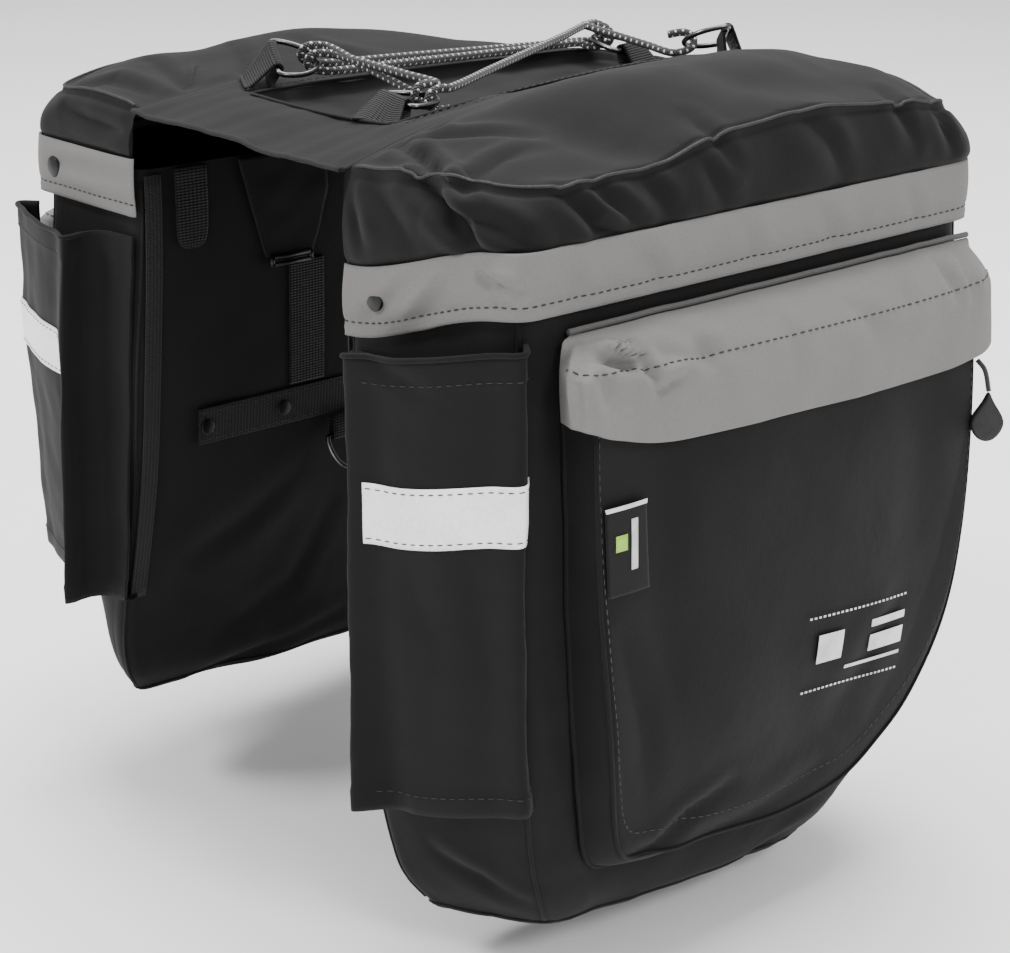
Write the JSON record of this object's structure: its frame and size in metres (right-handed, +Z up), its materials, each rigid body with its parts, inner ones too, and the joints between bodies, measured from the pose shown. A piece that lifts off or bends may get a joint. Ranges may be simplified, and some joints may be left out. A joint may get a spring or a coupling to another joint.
{
  "type": "bicycle pannier",
  "caption": "Double soft bicycle pannier: two lidded bags joined by a fabric bridge over the rear rack, with bungee, bottle pockets and hooded outer pockets.",
  "frame": {"origin": "on the rack deck, under the middle of the fabric bridge, where the pannier hangs on the rack", "axes": "+Z up, +Y towards the front of the bicycle, +X to its right; the bottle pockets face -Y"},
  "size_m": [0.487, 0.3795, 0.4274],
  "materials": {
    "bridge_cloth": "matt woven polyester",
    "bag_cloth": "matt woven polyester",
    "lid_cloth": "matt woven polyester",
    "pocket_cloth": "matt woven polyester",
    "grey_band_cloth": "matt woven polyester",
    "binding_cloth": "ribbed binding tape",
    "label_cloth": "smooth woven label",
    "loop_webbing": "ribbed nylon webbing",
    "bungee_cord": "braided sleeve with pale flecks",
    "pull_cord": "braided cord",
    "reflective_tape": "satin retroreflective",
    "adjuster_plastic": "fine moulded texture",
    "puller_rubber": "matt moulded rubber",
    "ring_metal": "gunmetal plating, satin",
    "rivet_metal": "gunmetal plating, satin"
  },
  "bodies": {
    "root": {"bridge_panel": "bridge_cloth", "bungee": "bungee_cord", "d_ring_1": "ring_metal", "web_loop_1": "loop_webbing", "d_ring_2": "ring_metal", "web_loop_2": "loop_webbing", "d_ring_3": "ring_metal", "web_loop_3": "loop_webbing", "d_ring_4": "ring_metal", "web_loop_4": "loop_webbing", "bag_right": "bag_cloth", "lid_right": "lid_cloth", "lid_band_right": "grey_band_cloth", "band_rivet_right": "rivet_metal", "bottle_pocket_right": "pocket_cloth", "reflector_right": "reflective_tape", "outer_pocket_right": "pocket_cloth", "pocket_hood_right": "grey_band_cloth", "hood_piping_right": "binding_cloth", "zip_cord_right": "pull_cord", "zip_puller_right": "puller_rubber", "side_tag_right": "label_cloth", "lid_tab_right": "loop_webbing", "inner_binding_right": "binding_cloth", "velcro_strap_right": "loop_webbing", "strap_flap_right": "bag_cloth", "web_strap_right": "loop_webbing", "adjuster_right": "adjuster_plastic", "inner_strip_right": "loop_webbing", "ring_tab_right": "loop_webbing", "lower_ring_right": "ring_metal", "strip_rivet_right_1": "rivet_metal", "strip_rivet_right_2": "rivet_metal", "bag_left": "bag_cloth", "lid_left": "lid_cloth", "lid_band_left": "grey_band_cloth", "band_rivet_left": "rivet_metal", "bottle_pocket_left": "pocket_cloth", "reflector_left": "reflective_tape", "outer_pocket_left": "pocket_cloth", "pocket_hood_left": "grey_band_cloth", "hood_piping_left": "binding_cloth", "zip_cord_left": "pull_cord", "zip_puller_left": "puller_rubber", "side_tag_left": "label_cloth", "lid_tab_left": "loop_webbing", "inner_binding_left": "binding_cloth", "velcro_strap_left": "loop_webbing", "strap_flap_left": "bag_cloth", "web_strap_left": "loop_webbing", "adjuster_left": "adjuster_plastic", "inner_strip_left": "loop_webbing", "ring_tab_left": "loop_webbing", "lower_ring_left": "ring_metal", "strip_rivet_left_1": "rivet_metal", "strip_rivet_left_2": "rivet_metal"}
  },
  "joints": []
}
